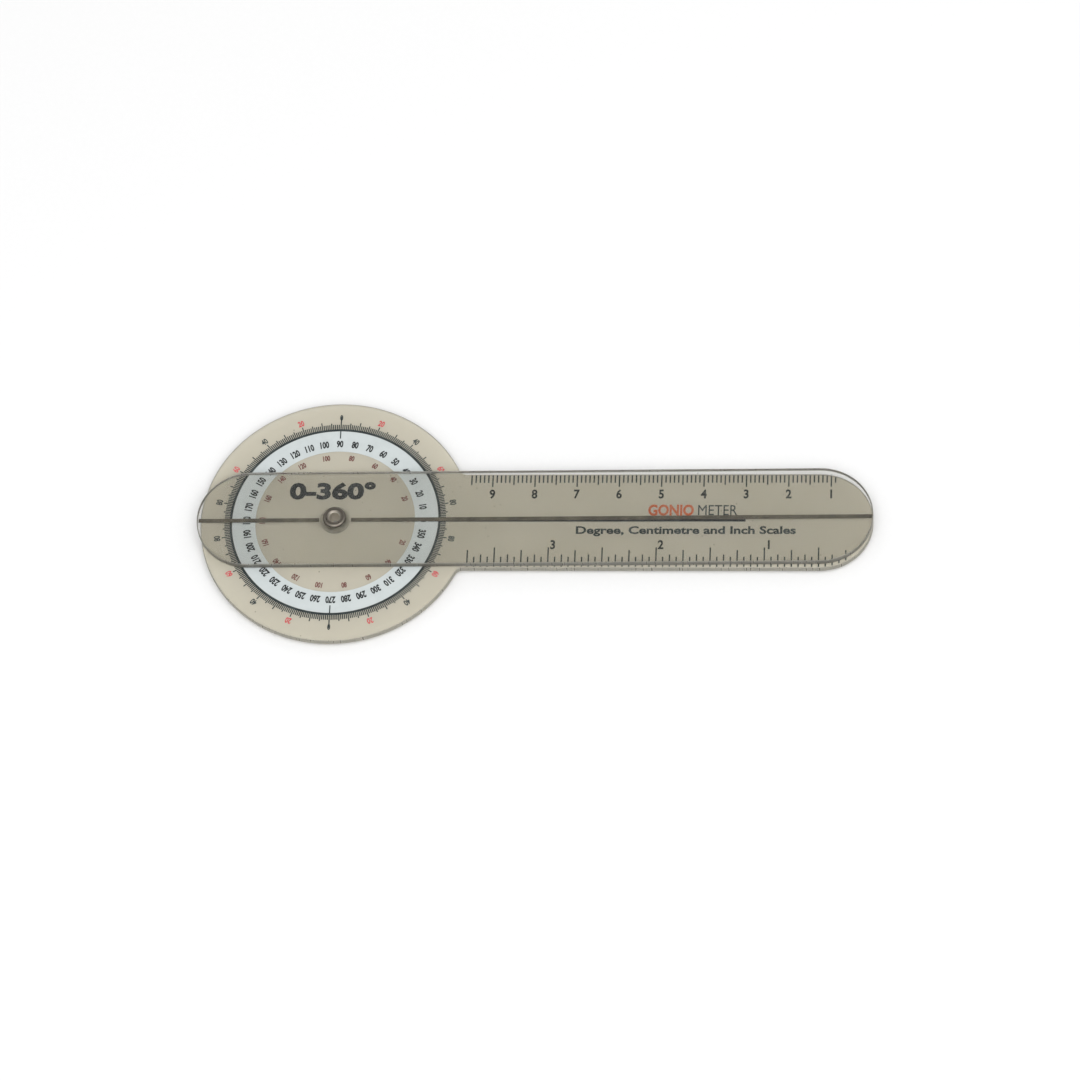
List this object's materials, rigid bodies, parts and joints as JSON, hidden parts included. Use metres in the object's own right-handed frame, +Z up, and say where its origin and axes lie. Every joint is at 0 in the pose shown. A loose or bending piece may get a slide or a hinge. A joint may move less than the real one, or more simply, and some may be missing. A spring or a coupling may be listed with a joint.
{
  "type": "full-circle goniometer",
  "caption": "Clear plastic full-circle goniometer: a round protractor head with a ruler arm, and a second arm that turns over it on a hollow rivet. Shown closed.",
  "frame": {"origin": "where the pivot's axis crosses the underside of the fixed plate", "axes": "+Z up, along the pivot's axis and out of the printed face; +X from the pivot along the fixed arm to its tip; +Y towards the centimetre ruler"},
  "size_m": [0.1598, 0.064, 0.0047],
  "materials": {
    "smoke_plastic": "smoky see-through sheet, polished",
    "pale_plastic": "faintly smoky see-through sheet, polished",
    "nickel": "nickel plate, dulled",
    "white_ink": "opaque screen print",
    "black_ink": "screen print",
    "olive_ink": "thin screen print",
    "red_ink": "screen print",
    "brown_ink": "screen print",
    "orange_ink": "screen print"
  },
  "bodies": {
    "protractor": {"fixed_plate": "smoke_plastic", "pivot_rivet": "nickel", "back_washer": "nickel", "spacer_washer": "pale_plastic", "white_scale_ring": "white_ink", "degree_ticks": "black_ink", "quarter_marks": "black_ink", "base_line": "black_ink", "centimetre_ticks": "black_ink", "inch_ticks": "black_ink"},
    "arm": {"moving_arm": "pale_plastic", "index_line": "olive_ink"}
  },
  "joints": [
    {"name": "arm_pivot", "type": "hinge", "parent": "protractor", "child": "arm", "pos_m": [0, 0, 0.0025], "axis": [0, 0, 1], "continuous": true}
  ]
}
